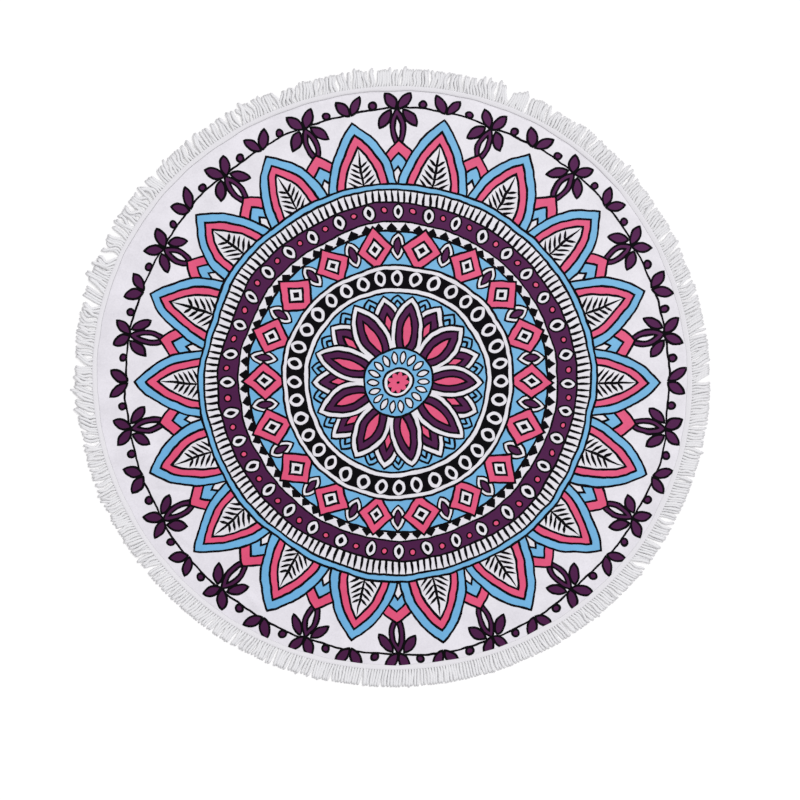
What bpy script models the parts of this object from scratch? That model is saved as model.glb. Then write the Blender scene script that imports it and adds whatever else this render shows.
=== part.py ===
"""A round beach towel with a corded fringe, lying flat and face up.

Units are metres and +Z is up. The towel lies on the plane z = 0, and the origin is the middle of
the cloth, underneath. Angles are in degrees, anticlockwise from +X as seen from above.

The towel is two pieces: the cloth, a thin disc with its edge turned in, and the fringe, a header
tape that runs round the cloth's edge with the cords hanging from it. The cords are modelled as
locks of two or three, because cords of cotton lie against each other in small bundles.
"""

from collections import namedtuple
from math import cos, radians, sin, tan

import bmesh
import bpy
import numpy as np
from mathutils import Vector

# Driving sizes
OVERALL_DIAMETER = 1.50  # the mean, from cord tip to cord tip
CORD_LENGTH = 0.041
TAPE_WIDTH = 0.0115
CLOTH_THICKNESS = 0.003  # cotton velour, pile and all
CLOTH_EDGE_ROUNDING = 0.001
TAPE_THICKNESS = 0.003
GAP = 0.0003  # between the cloth's edge and the tape

# The towel isn't laid out perfectly round: each wave pushes its rim out and in again.
Wave = namedtuple("Wave", "count depth crest")
RIM_WAVES = (
    Wave(count=2, depth=0.0097, crest=-2),
    Wave(count=3, depth=0.0020, crest=60),
    Wave(count=4, depth=0.0024, crest=-34),
)

# How the cords lie round the rim: their lean, positive where the tips point anticlockwise, and how
# far they reach past their usual length. Between two rows both change evenly. A quick rise in lean
# is a place where the cords part in a V.
Lay = namedtuple("Lay", "angle lean reach")
LAYS = (
    Lay(angle=0, lean=22, reach=0.001),
    Lay(angle=20, lean=17, reach=-0.001),
    Lay(angle=38, lean=10, reach=-0.002),
    Lay(angle=41, lean=14, reach=0.003),
    Lay(angle=46, lean=3, reach=0.000),
    Lay(angle=52, lean=4, reach=0.006),
    Lay(angle=58, lean=-2, reach=-0.002),
    Lay(angle=59, lean=16, reach=0.003),
    Lay(angle=63, lean=-6, reach=0.001),
    Lay(angle=64, lean=6, reach=0.004),
    Lay(angle=67, lean=-10, reach=-0.003),
    Lay(angle=68, lean=18, reach=0.005),
    Lay(angle=74, lean=4, reach=0.001),
    Lay(angle=88, lean=-8, reach=0.000),
    Lay(angle=95, lean=-4, reach=-0.002),
    Lay(angle=96, lean=8, reach=0.003),
    Lay(angle=99, lean=-8, reach=0.001),
    Lay(angle=112, lean=-16, reach=-0.004),
    Lay(angle=113, lean=14, reach=0.001),
    Lay(angle=121, lean=2, reach=0.003),
    Lay(angle=135, lean=-8, reach=0.000),
    Lay(angle=139, lean=-22, reach=-0.004),
    Lay(angle=140, lean=4, reach=0.001),
    Lay(angle=149, lean=0, reach=0.005),
    Lay(angle=152, lean=-8, reach=-0.001),
    Lay(angle=153, lean=6, reach=0.005),
    Lay(angle=156, lean=-12, reach=-0.002),
    Lay(angle=157, lean=18, reach=0.002),
    Lay(angle=162, lean=-10, reach=0.005),
    Lay(angle=166, lean=-20, reach=-0.002),
    Lay(angle=167, lean=6, reach=0.002),
    Lay(angle=187, lean=-26, reach=0.001),
    Lay(angle=192, lean=-22, reach=-0.003),
    Lay(angle=193, lean=4, reach=0.001),
    Lay(angle=215, lean=-12, reach=-0.002),
    Lay(angle=244, lean=-10, reach=0.001),
    Lay(angle=276, lean=-5, reach=0.000),
    Lay(angle=332, lean=18, reach=-0.001),
    Lay(angle=346, lean=5, reach=0.001),
)

# The locks of cords
LOCKS = 288
LOCK_SHARE = 0.72  # of the tape's outer edge that a lock's root takes up

# A lock's sections beyond its root: how far along it is, how much of the lean's sideways shift it
# has, its width beside the root's, and how high it stands from the floor, on which all of it lies.
Section = namedtuple("Section", "along shift width height")
LOCK_SECTIONS = (
    Section(along=0.50, shift=0.58, width=0.98, height=0.0050),
    Section(along=1.00, shift=1.00, width=0.66, height=0.0030),
)

CLOTH_RADIUS = OVERALL_DIAMETER / 2 - CORD_LENGTH - TAPE_WIDTH
CLOTH_OUTLINE_POINTS = 180

Finish = namedtuple("Finish", "colour roughness")
PRINTED_VELOUR = Finish(colour=(0.78, 0.76, 0.80), roughness=0.95)
WHITE_COTTON_CORD = Finish(colour=(0.74, 0.74, 0.76), roughness=0.90)


def clear_scene():
    for scene_object in list(bpy.data.objects):
        bpy.data.objects.remove(scene_object, do_unlink=True)


def material(name, finish):
    made = bpy.data.materials.new(name)
    made.use_nodes = True
    shader = made.node_tree.nodes["Principled BSDF"]
    shader.inputs["Base Color"].default_value = (*finish.colour, 1.0)
    shader.inputs["Roughness"].default_value = finish.roughness
    shader.inputs["Metallic"].default_value = 0.0
    return made


def outward(angle):
    return Vector((cos(radians(angle)), sin(radians(angle)), 0.0))


def rim_point(angle, past_cloth):
    """The point this far outside the cloth's edge at an angle round the rim."""
    pushed = sum(w.depth * cos(radians(w.count * (angle - w.crest))) for w in RIM_WAVES)
    return outward(angle) * (CLOTH_RADIUS + pushed + past_cloth)


def lay_at(angle):
    """The lean and the reach of the cords at an angle round the rim."""
    angles, leans, reaches = zip(*LAYS)
    lean = float(np.interp(angle, angles, leans, period=360))
    reach = float(np.interp(angle, angles, reaches, period=360))
    return lean, reach


def make_cloth(collection):
    """The disc: its outline filled, given its thickness and its edge rounded off."""
    outline = bpy.data.curves.new("towel", "CURVE")
    outline.dimensions = "2D"
    outline.fill_mode = "BOTH"
    outline.extrude = CLOTH_THICKNESS / 2 - CLOTH_EDGE_ROUNDING
    outline.bevel_depth = CLOTH_EDGE_ROUNDING
    outline.bevel_resolution = 1
    edge = outline.splines.new("POLY")
    edge.use_cyclic_u = True
    edge.points.add(CLOTH_OUTLINE_POINTS - 1)
    for number, point in enumerate(edge.points):
        angle = 360 * number / CLOTH_OUTLINE_POINTS
        point.co = (*rim_point(angle, -CLOTH_EDGE_ROUNDING), 1.0)
    cloth = bpy.data.objects.new("towel", outline)
    cloth.location.z = CLOTH_THICKNESS / 2
    outline.materials.append(material("printed cotton velour", PRINTED_VELOUR))
    collection.objects.link(cloth)


def crosscut_angles():
    """Where the tape is cut across: at each lock's root, and where the space to the next begins."""
    pitch = 360 / LOCKS
    return [(lock + share) * pitch for lock in range(LOCKS) for share in (0.0, LOCK_SHARE)]


def make_tape(mesh):
    """The tape, a flat ring of four walls. Returns the points of its outer edge on the floor."""
    inner_edge = bmesh.ops.create_circle(mesh, radius=1.0, segments=2 * LOCKS)["verts"]
    widened = bmesh.ops.extrude_edge_only(mesh, edges=mesh.edges[:])["geom"]
    outer_edge = [item for item in widened if isinstance(item, bmesh.types.BMVert)]
    for inner, outer, angle in zip(inner_edge, outer_edge, crosscut_angles()):
        inner.co = rim_point(angle, GAP)
        outer.co = rim_point(angle, TAPE_WIDTH)
    flat_ring = mesh.faces[:] + mesh.edges[:] + mesh.verts[:]
    raised = bmesh.ops.extrude_face_region(mesh, geom=flat_ring, use_keep_orig=True)["geom"]
    top = [item for item in raised if isinstance(item, bmesh.types.BMVert)]
    bmesh.ops.translate(mesh, verts=top, vec=(0.0, 0.0, TAPE_THICKNESS))
    bmesh.ops.recalc_face_normals(mesh, faces=mesh.faces[:])
    return outer_edge


def wall_above(mesh, first, second):
    """The upright face that stands on the edge between two points."""
    edge = mesh.edges.get((first, second))
    return next(face for face in edge.link_faces if abs(face.normal.z) < 0.5)


def grow_lock(mesh, first, second, angle):
    """Draws a lock out of the wall between two points, a section at a time, lying on the floor."""
    lean, reach = lay_at(angle)
    root = (first.co + second.co) / 2
    along = outward(angle) * (CORD_LENGTH + reach)
    across = outward(angle + 90)
    shift = across * along.length * tan(radians(lean))
    half_width = across * (first.co - second.co).length / 2
    tip = wall_above(mesh, first, second)
    for section in LOCK_SECTIONS:
        tip = bmesh.ops.extrude_discrete_faces(mesh, faces=[tip])["faces"][0]
        middle = tip.calc_center_median()
        spine = root + along * section.along + shift * section.shift
        for vert in tip.verts:
            side = 1 if (vert.co - middle).dot(across) > 0 else -1
            height = section.height if vert.co.z > middle.z else 0.0
            vert.co = spine + half_width * side * section.width + Vector((0.0, 0.0, height))


def make_fringe(collection):
    mesh = bmesh.new()
    outer_edge = make_tape(mesh)
    for lock in range(LOCKS):
        first, second = outer_edge[2 * lock : 2 * lock + 2]
        grow_lock(mesh, first, second, (lock + LOCK_SHARE / 2) * 360 / LOCKS)
    trim = bpy.data.meshes.new("fringe")
    mesh.to_mesh(trim)
    mesh.free()
    trim.materials.append(material("white cotton cord", WHITE_COTTON_CORD))
    collection.objects.link(bpy.data.objects.new("fringe", trim))


def main():
    clear_scene()
    collection = bpy.data.collections.new("round beach towel")
    bpy.context.scene.collection.children.link(collection)
    make_cloth(collection)
    make_fringe(collection)


main()
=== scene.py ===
# %% [markdown]
# # A round beach towel with a corded fringe
#
# The towel lies spread out flat, its printed face up, as it would on sand or on a studio floor. It
# is a disc of cotton velour with a bought trim sewn round its edge: a narrow woven tape with soft
# twisted cords hanging from it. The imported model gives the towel's true size and place, and this
# lesson dresses it: cloth, tape, stitches and cords as fine meshes, then the finish of each.
#
# Lengths are in metres unless a name says otherwise. Angles are in degrees, anticlockwise from +X.

from collections import namedtuple
from itertools import zip_longest
from math import atan2, cos, degrees, hypot, pi, radians, sin, sqrt, tau

import bmesh
import bpy
import numpy as np
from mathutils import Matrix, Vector


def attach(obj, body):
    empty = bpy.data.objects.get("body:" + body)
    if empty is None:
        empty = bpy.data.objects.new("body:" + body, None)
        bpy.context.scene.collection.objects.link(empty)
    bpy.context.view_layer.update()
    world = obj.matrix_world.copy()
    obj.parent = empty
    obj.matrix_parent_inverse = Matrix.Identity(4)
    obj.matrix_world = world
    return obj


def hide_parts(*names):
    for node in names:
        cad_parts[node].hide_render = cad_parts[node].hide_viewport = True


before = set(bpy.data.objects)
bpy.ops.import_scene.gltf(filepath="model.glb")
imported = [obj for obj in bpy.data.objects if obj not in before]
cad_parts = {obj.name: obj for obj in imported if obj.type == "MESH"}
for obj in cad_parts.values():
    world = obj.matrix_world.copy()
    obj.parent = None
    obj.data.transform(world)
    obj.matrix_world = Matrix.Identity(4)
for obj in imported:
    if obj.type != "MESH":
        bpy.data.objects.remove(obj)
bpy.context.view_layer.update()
print("nodes", sorted(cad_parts))

# %% [markdown]
# ## Camera
#
# The photograph looks straight down at the towel. A long lens some metres up does the same: its
# rays are nearly parallel, so the thin towel shows no side. The towel's mean width in the picture
# gives the distance, and the place of its middle there gives where the camera hangs.

# %% Hang the camera over the towel
PHOTO_SIDE_PX = 800
TOWEL_WIDTH_PX = 627  # the mean, from cord tip to cord tip
TOWEL_MIDDLE_PX = (393, 378)
OVERALL_DIAMETER = 1.50
METRES_PER_PX = OVERALL_DIAMETER / TOWEL_WIDTH_PX
LENS_MM = 85.0
SENSOR_MM = 36.0

camera_data = bpy.data.cameras.new("camera")
camera_data.lens = LENS_MM
camera_data.sensor_width = SENSOR_MM
camera = bpy.data.objects.new("camera", camera_data)
camera.location = (
    (PHOTO_SIDE_PX / 2 - TOWEL_MIDDLE_PX[0]) * METRES_PER_PX,
    (TOWEL_MIDDLE_PX[1] - PHOTO_SIDE_PX / 2) * METRES_PER_PX,
    PHOTO_SIDE_PX * METRES_PER_PX * LENS_MM / SENSOR_MM,
)
bpy.context.scene.collection.objects.link(camera)
bpy.context.scene.camera = camera
print("camera", [round(value, 3) for value in camera.location])

# %% [markdown]
# ## Light
#
# Product pictures of white linen are lit from all round, so that no shadow cuts its edge. A pale
# world does that. One broad, soft light from the upper right adds enough direction for the pile
# and the cords to show their form. It is a sun with a wide angle, so it is as bright on one side
# of the towel as on the other. The Standard view keeps printed colours as strong as they are.

# %% Light the studio
WORLD_STRENGTH = 0.80
KEY_STRENGTH = 1.25
KEY_ANGLE = 40
KEY_FROM = Vector((0.75, 0.65, 1.30))

world = bpy.data.worlds.new("pale studio")
world.use_nodes = True
world.node_tree.nodes["Background"].inputs["Color"].default_value = (1.0, 1.0, 1.0, 1.0)
world.node_tree.nodes["Background"].inputs["Strength"].default_value = WORLD_STRENGTH
bpy.context.scene.world = world

key_data = bpy.data.lights.new("broad key light", "SUN")
key_data.energy = KEY_STRENGTH
key_data.angle = radians(KEY_ANGLE)
key = bpy.data.objects.new("broad key light", key_data)
key.rotation_euler = KEY_FROM.to_track_quat("Z", "Y").to_euler()
bpy.context.scene.collection.objects.link(key)
bpy.context.scene.view_settings.view_transform = "Standard"
print("key light", KEY_STRENGTH, "over a world of", WORLD_STRENGTH)

# %% [markdown]
# ## The rim
#
# Nobody lays a towel out perfectly round. Its rim is a circle pushed out and in by a few slow
# waves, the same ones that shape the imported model, so every piece that follows the rim asks the
# same functions for its place. They take one angle or an array of them.

# %% The towel's sizes, and the shape of its rim
CORD_LENGTH = 0.041
TAPE_WIDTH = 0.0115
CLOTH_THICKNESS = 0.003
CLOTH_RADIUS = OVERALL_DIAMETER / 2 - CORD_LENGTH - TAPE_WIDTH

Wave = namedtuple("Wave", "count depth crest")
RIM_WAVES = (
    Wave(count=2, depth=0.0097, crest=-2),
    Wave(count=3, depth=0.0020, crest=60),
    Wave(count=4, depth=0.0024, crest=-34),
)


def outward(angle):
    """The level direction from the towel's middle at an angle."""
    turned = np.radians(angle)
    return np.stack([np.cos(turned), np.sin(turned), np.zeros_like(turned)], axis=-1)


def rim_radius(angle):
    """How far the cloth's edge is from the middle at an angle."""
    pushed = sum(w.depth * np.cos(np.radians(w.count * (angle - w.crest))) for w in RIM_WAVES)
    return CLOTH_RADIUS + pushed


def rim_place(angle, past_cloth, height):
    """The place at an angle, so far outside the cloth's edge and so high."""
    place = outward(angle) * np.expand_dims(rim_radius(angle) + past_cloth, -1)
    place[..., 2] = height
    return place


print("cloth", round(2 * rim_radius(0), 3), "m wide and", round(2 * rim_radius(90), 3), "m high")


# %% Two helpers: one puts a mesh into the scene, one grows a ring of faces
def finished(name, mesh):
    """Puts a bmesh into the scene as a smooth-shaded object, and tells its size."""
    data = bpy.data.meshes.new(name)
    mesh.to_mesh(data)
    mesh.free()
    data.shade_smooth()
    piece = bpy.data.objects.new(name, data)
    bpy.context.scene.collection.objects.link(piece)
    print(name, "has", len(data.polygons), "faces")
    return piece


def grow(mesh, edges):
    """Extrudes a ring of edges, and gives the new points, edges and faces."""
    grown = bmesh.ops.extrude_edge_only(mesh, edges=edges)["geom"]
    points = [item for item in grown if isinstance(item, bmesh.types.BMVert)]
    faces = [item for item in grown if isinstance(item, bmesh.types.BMFace)]
    edges = [item for item in grown if isinstance(item, bmesh.types.BMEdge)]
    return points, [edge for edge in edges if set(points).issuperset(edge.verts)], faces


# %% [markdown]
# ## The seam
#
# Where the trim meets the cloth there is a thin groove. The machine's line wanders a little, and the
# groove gapes where the trim pulls away, most along the top of the towel, and closes where it is
# pressed tight. One function says how far the seam strays, and one table how wide the groove gapes
# and how much of its full depth it has. A table that goes round the rim, as this one, has a row
# where something changes, and is read at any angle by drawing a straight line from row to row.

# %% How the seam runs
SEAM_STRAY = 0.0014
SEAM_STRAY_COUNTS = (19, 31, 53)
SEAM_STRAY_REACH = 0.010  # on either side of the seam, what is further away doesn't stray with it

Gape = namedtuple("Gape", "angle width depth")
GAPES = (
    Gape(angle=0, width=0.0000, depth=0.3),
    Gape(angle=38, width=0.0002, depth=0.4),
    Gape(angle=43, width=0.0013, depth=1.0),
    Gape(angle=65, width=0.0009, depth=0.9),
    Gape(angle=90, width=0.0018, depth=1.0),
    Gape(angle=113, width=0.0018, depth=1.0),
    Gape(angle=125, width=0.0008, depth=0.8),
    Gape(angle=150, width=0.0008, depth=0.7),
    Gape(angle=170, width=0.0004, depth=0.4),
    Gape(angle=195, width=0.0001, depth=0.2),
    Gape(angle=215, width=0.0000, depth=0.0),
    Gape(angle=270, width=0.0000, depth=0.0),
    Gape(angle=330, width=0.0000, depth=0.2),
)


def strayed(angle, past_cloth):
    """How far outwards a place near the seam has strayed with it."""
    waves = sum(np.sin(np.radians(count * angle) + count) for count in SEAM_STRAY_COUNTS)
    nearness = np.maximum(1 - np.abs(past_cloth) / SEAM_STRAY_REACH, 0)
    return SEAM_STRAY * nearness * waves / len(SEAM_STRAY_COUNTS)


def read(table, column, angle):
    """A column of a table that goes round the rim, read at an angle or at an array of them."""
    at_rows = [getattr(row, column) for row in table]
    return np.interp(angle, [row.angle for row in table], at_rows, period=360)


def gape(angle, column="width"):
    """How wide the groove along the seam gapes at an angle, or how much of its depth it has."""
    return read(GAPES, column, angle)


print("the seam gapes by up to", max(row.width for row in GAPES) * 1000, "mm")

# %% [markdown]
# ## The cloth
#
# A square grid pressed into a disc keeps its faces nearly square all over, where a fan of
# triangles would crowd the middle and show a pole. Each row of the grid bows out until its ends
# meet the circle. The last centimetre is added as rings, which are closer together, because there
# the machine's foot has pressed the pile down and the edge turns over.

# %% Press a grid into the towel's outline
GRID_STEPS = 240  # about 6 mm a face, fine enough for puckers and creases
GRID_STOPS_INSIDE = 0.012  # this far from the edge, where the rings begin

cloth_mesh = bmesh.new()
bmesh.ops.create_grid(cloth_mesh, x_segments=GRID_STEPS, y_segments=GRID_STEPS, size=1.0)
for vert in cloth_mesh.verts:
    x = vert.co.x * sqrt(1 - vert.co.y**2 / 2)
    y = vert.co.y * sqrt(1 - vert.co.x**2 / 2)
    angle = degrees(atan2(y, x))
    vert.co = outward(angle) * hypot(x, y) * (rim_radius(angle) - GRID_STOPS_INSIDE)
print("pressed", len(cloth_mesh.verts), "points into the outline")

# %% [markdown]
# The face isn't quite flat. The trim holds the edge a little short, so the cloth puckers along the
# seam in small soft waves, and folding has left a few short creases near the rim. Each crease is a
# straight trough or ridge with a rounded section, which fades out at its ends.

# %% The relief of the face
EdgeRow = namedtuple("EdgeRow", "inside height")
FACE_EDGE = (
    EdgeRow(inside=0.0001, height=0.0016),
    EdgeRow(inside=0.0006, height=0.0024),
    EdgeRow(inside=0.0014, height=0.0027),
    EdgeRow(inside=0.0023, height=0.0024),  # the groove that the stitches pull
    EdgeRow(inside=0.0034, height=0.0027),
    EdgeRow(inside=0.0050, height=0.0030),
    EdgeRow(inside=0.0080, height=CLOTH_THICKNESS),
)
PUCKER_DEPTH = 0.0005
PUCKER_REACH = 0.022  # how far in from the edge they fade away
PUCKER_COUNTS = (83, 131, 47)  # round the rim, mixed so that no two puckers look alike

Crease = namedtuple("Crease", "x y heading length width rise")
CREASES = (
    Crease(x=-0.139, y=0.598, heading=54, length=0.075, width=0.008, rise=-0.0026),
    Crease(x=-0.222, y=0.529, heading=150, length=0.060, width=0.008, rise=-0.0024),
    Crease(x=-0.677, y=-0.092, heading=60, length=0.060, width=0.008, rise=-0.0024),
    Crease(x=-0.591, y=-0.182, heading=20, length=0.080, width=0.008, rise=0.0024),
    Crease(x=-0.538, y=-0.268, heading=176, length=0.080, width=0.006, rise=-0.0027),
    Crease(x=-0.496, y=-0.385, heading=140, length=0.070, width=0.009, rise=0.0024),
    Crease(x=-0.337, y=-0.529, heading=130, length=0.070, width=0.009, rise=0.0022),
    Crease(x=0.469, y=0.426, heading=40, length=0.100, width=0.010, rise=0.0018),
    Crease(x=0.634, y=-0.050, heading=85, length=0.090, width=0.009, rise=-0.0018),
)


def creased(places, crease):
    """How much a crease raises each place."""
    step = places - np.array([crease.x, crease.y, 0.0])
    lengthways = 2 * step @ outward(crease.heading) / crease.length
    sideways = step @ outward(crease.heading + 90) / crease.width
    return crease.rise * np.exp(-(lengthways**4) - sideways**2)


def face_height(places):
    """How high the cloth's face lies at each place."""
    flat = places * (1, 1, 0)
    angle = np.degrees(np.arctan2(flat[:, 1], flat[:, 0]))
    inside = rim_radius(angle) - np.linalg.norm(flat, axis=1)
    pressed = np.interp(inside, [row.inside for row in FACE_EDGE], [row.height for row in FACE_EDGE])
    pressed = CLOTH_THICKNESS + (pressed - CLOTH_THICKNESS) * gape(angle, "depth")
    waves = sum(np.sin(np.radians(count * angle) + count) for count in PUCKER_COUNTS)
    puckered = PUCKER_DEPTH * waves / len(PUCKER_COUNTS) * np.exp(-inside / PUCKER_REACH)
    return pressed + puckered + sum(creased(flat, crease) for crease in CREASES)


heights = face_height(np.array([vert.co for vert in cloth_mesh.verts]))
for vert, height in zip(cloth_mesh.verts, heights):
    vert.co.z = height
print(len(CREASES), "creases, up to", max(abs(crease.rise) for crease in CREASES) * 1000, "mm")

# %% Turn the edge over, and close the underside
UNDER_EDGE = (
    EdgeRow(inside=0.0000, height=0.0010),
    EdgeRow(inside=0.0005, height=0.0003),
    EdgeRow(inside=0.0014, height=0.0000),
)
BACK_SIDE = 1  # the material's number; the printed face is number 0

ring = [edge for edge in cloth_mesh.edges if edge.is_boundary]
for row in FACE_EDGE[::-1] + UNDER_EDGE:
    points, ring, faces = grow(cloth_mesh, ring)
    angles = np.array([degrees(atan2(point.co.y, point.co.x)) for point in points])
    places = rim_place(angles, -row.inside, row.height)
    if row in FACE_EDGE:
        places[:, 2] = face_height(places)
    places += outward(angles) * strayed(angles, row.inside)[:, None]
    for point, place in zip(points, places):
        point.co = place
    for face in faces:
        face.material_index = BACK_SIDE * (row in UNDER_EDGE)
underside = bmesh.ops.edgeloop_fill(cloth_mesh, edges=ring, mat_nr=BACK_SIDE)["faces"]
bmesh.ops.recalc_face_normals(cloth_mesh, faces=cloth_mesh.faces[:])
print("closed by", len(underside), "face; volume", round(cloth_mesh.calc_volume() * 1000, 2), "litres")
cloth = finished("printed_cloth", cloth_mesh)

# %% [markdown]
# ## The header tape
#
# Fringe is sold by the metre on a woven tape, and each cord is caught in the weave by cross
# threads, which stand up as a low rib. The tape's section is drawn once, as a row of points from
# its inner edge over the top and back underneath, and the ring grows from point to point. Every
# second crosscut is a rib, so it stands a little higher.

# %% Weave the tape round the rim
CORDS = 650
RIB_HEIGHT = 0.00025

# A point's rib says how much of a rib's height it has, and its gape how far it draws back from the
# cloth where the seam's groove gapes. Where the groove is shallow, its points come up and in.
GROOVE_RIM = 0.0030  # how high they come
PRESSED_SHUT = 0.0003  # how far in they come where the groove has no depth

TapePoint = namedtuple("TapePoint", "past_cloth height rib gape")
TAPE_SECTION = (
    TapePoint(past_cloth=0.0003, height=0.0010, rib=0.0, gape=0.3),
    TapePoint(past_cloth=0.0006, height=0.0022, rib=0.0, gape=1.0),
    TapePoint(past_cloth=0.0014, height=0.0028, rib=0.0, gape=0.9),
    TapePoint(past_cloth=0.0032, height=0.0031, rib=0.5, gape=0.4),
    TapePoint(past_cloth=0.0060, height=0.0033, rib=1.0, gape=0.0),
    TapePoint(past_cloth=0.0090, height=0.0035, rib=1.0, gape=0.0),
    TapePoint(past_cloth=0.0110, height=0.0032, rib=1.0, gape=0.0),
    TapePoint(past_cloth=0.0122, height=0.0022, rib=0.0, gape=0.0),
    TapePoint(past_cloth=0.0120, height=0.0009, rib=0.0, gape=0.0),
    TapePoint(past_cloth=0.0105, height=0.0002, rib=0.0, gape=0.0),
    TapePoint(past_cloth=0.0014, height=0.0002, rib=0.0, gape=0.0),
    TapePoint(past_cloth=0.0004, height=0.0005, rib=0.0, gape=0.0),
)


def lay_along(ring, point):
    """Lays a ring of points at one point of the tape's section, every second one as a rib."""
    angles = 360 * np.arange(len(ring)) / len(ring)
    past_cloth = point.past_cloth + point.gape * gape(angles) + strayed(angles, point.past_cloth)
    height = point.height
    if point.gape:
        depth = gape(angles, "depth")
        height = GROOVE_RIM + (height - GROOVE_RIM) * depth
        past_cloth -= PRESSED_SHUT * (1 - depth)
    places = rim_place(angles, past_cloth, height)
    places[1::2, 2] += RIB_HEIGHT * point.rib
    for vert, place in zip(ring, places):
        vert.co = place


tape_mesh = bmesh.new()
points = bmesh.ops.create_circle(tape_mesh, radius=1.0, segments=2 * CORDS)["verts"]
first_ring = tape_mesh.edges[:]
ring = first_ring
lay_along(points, TAPE_SECTION[0])
for point in TAPE_SECTION[1:]:
    points, ring, _ = grow(tape_mesh, ring)
    lay_along(points, point)
bmesh.ops.bridge_loops(tape_mesh, edges=first_ring + ring)
bmesh.ops.recalc_face_normals(tape_mesh, faces=tape_mesh.faces[:])
print("tape", len(TAPE_SECTION), "points round its section and", CORDS, "ribs")
tape = finished("header_tape", tape_mesh)

# %% [markdown]
# ## The stitches
#
# Two rows of lockstitch hold the trim, one along the cloth's edge and one along the tape's. A
# stitch is a short thread that dips into the cloth at both ends, so a stretched ball of a few faces
# is enough for each. Where the seam is pressed tight they bed into the pile. Small things by the
# hundred are copies of one mesh in one object, whose points are then all placed at once.

# %% A helper that makes one object out of many copies
def many(name, source, places):
    """One object made of a copy of a small mesh for each row of places, with its points there."""
    mesh = bmesh.new()
    for _ in places:
        mesh.from_mesh(source)
    piece = finished(name, mesh)
    piece.data.vertices.foreach_set("co", places.astype(np.float32).reshape(-1))
    piece.data.update()
    return piece


def points_of(mesh):
    """A bmesh's points as an array."""
    return np.array([vert.co for vert in mesh.verts])


# %% Sew the trim on
STITCH_PITCH = 0.0034  # from one stitch to the next
STITCH_SIZE = Vector((0.00032, 0.0014, 0.00028))  # half its width, length and height
STITCH_BEDDING = 0.0004  # how much deeper a stitch lies where the groove has no depth
StitchRow = namedtuple("StitchRow", "past_cloth height gape")
STITCH_ROWS = (
    StitchRow(past_cloth=-0.0023, height=0.0026, gape=0.0),
    StitchRow(past_cloth=0.0024, height=0.0029, gape=0.7),
)

one_stitch = bmesh.new()
bmesh.ops.create_icosphere(one_stitch, subdivisions=1, radius=1.0)
bmesh.ops.scale(one_stitch, verts=one_stitch.verts[:], vec=STITCH_SIZE)
stitch_points = points_of(one_stitch)
stitch_data = bpy.data.meshes.new("one stitch")
one_stitch.to_mesh(stitch_data)
one_stitch.free()

stitch_angles = np.arange(0, 360, degrees(STITCH_PITCH / CLOTH_RADIUS))
out, across = outward(stitch_angles)[:, None], outward(stitch_angles + 90)[:, None]
turned = stitch_points[:, :1] * out + stitch_points[:, 1:2] * across + stitch_points * (0, 0, 1)
rows = []
for row in STITCH_ROWS:
    past_cloth = row.past_cloth + row.gape * gape(stitch_angles)
    past_cloth += strayed(stitch_angles, row.past_cloth)
    height = row.height - STITCH_BEDDING * (1 - gape(stitch_angles, "depth"))
    rows.append(rim_place(stitch_angles, past_cloth, height)[:, None] + turned)
print(len(stitch_angles), "stitches in each of", len(rows), "rows")
stitches = many("trim_stitches", stitch_data, np.concatenate(rows))

# %% [markdown]
# ## How the cords lie
#
# A fringe is never combed quite straight. Its cords lean this way or that in long stretches, part
# in a V where two stretches meet, and cling together in small bundles. The first table says which
# way they lean round the rim, positive where their tips point anticlockwise, and how far they
# reach past their usual length. The second says how much they curl, how closely a bundle draws
# together, and what share of them lies on top of the others and crosses them.

# %% The lie of the fringe round the rim
Lay = namedtuple("Lay", "angle lean reach")
LAYS = (
    Lay(angle=0, lean=22, reach=0.001),
    Lay(angle=20, lean=17, reach=-0.001),
    Lay(angle=38, lean=10, reach=-0.002),
    Lay(angle=41, lean=14, reach=0.003),
    Lay(angle=46, lean=3, reach=0.000),
    Lay(angle=52, lean=4, reach=0.006),
    Lay(angle=58.4, lean=-2, reach=-0.002),
    Lay(angle=58.6, lean=16, reach=0.003),
    Lay(angle=63.6, lean=-6, reach=0.001),
    Lay(angle=63.8, lean=6, reach=0.004),
    Lay(angle=67.3, lean=-10, reach=-0.003),
    Lay(angle=67.5, lean=18, reach=0.005),
    Lay(angle=74, lean=4, reach=0.001),
    Lay(angle=88, lean=-8, reach=0.000),
    Lay(angle=95.4, lean=-4, reach=-0.002),
    Lay(angle=95.6, lean=8, reach=0.003),
    Lay(angle=99, lean=-8, reach=0.001),
    Lay(angle=112.2, lean=-13, reach=-0.003),
    Lay(angle=112.4, lean=5, reach=0.001),
    Lay(angle=121, lean=2, reach=0.003),
    Lay(angle=135, lean=-8, reach=0.000),
    Lay(angle=139.6, lean=-22, reach=-0.004),
    Lay(angle=139.8, lean=4, reach=0.001),
    Lay(angle=149, lean=0, reach=0.005),
    Lay(angle=152.2, lean=-8, reach=-0.001),
    Lay(angle=152.4, lean=6, reach=0.005),
    Lay(angle=156.3, lean=-12, reach=-0.002),
    Lay(angle=156.5, lean=14, reach=0.002),
    Lay(angle=162, lean=-10, reach=0.004),
    Lay(angle=166.2, lean=-7, reach=0.000),
    Lay(angle=166.4, lean=-10, reach=0.001),
    Lay(angle=187, lean=-23, reach=0.001),
    Lay(angle=192.3, lean=-18, reach=-0.002),
    Lay(angle=192.5, lean=0, reach=0.001),
    Lay(angle=215, lean=-12, reach=-0.002),
    Lay(angle=244, lean=-10, reach=0.001),
    Lay(angle=276, lean=-5, reach=0.000),
    Lay(angle=332, lean=18, reach=-0.001),
    Lay(angle=346, lean=5, reach=0.001),
)

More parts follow.
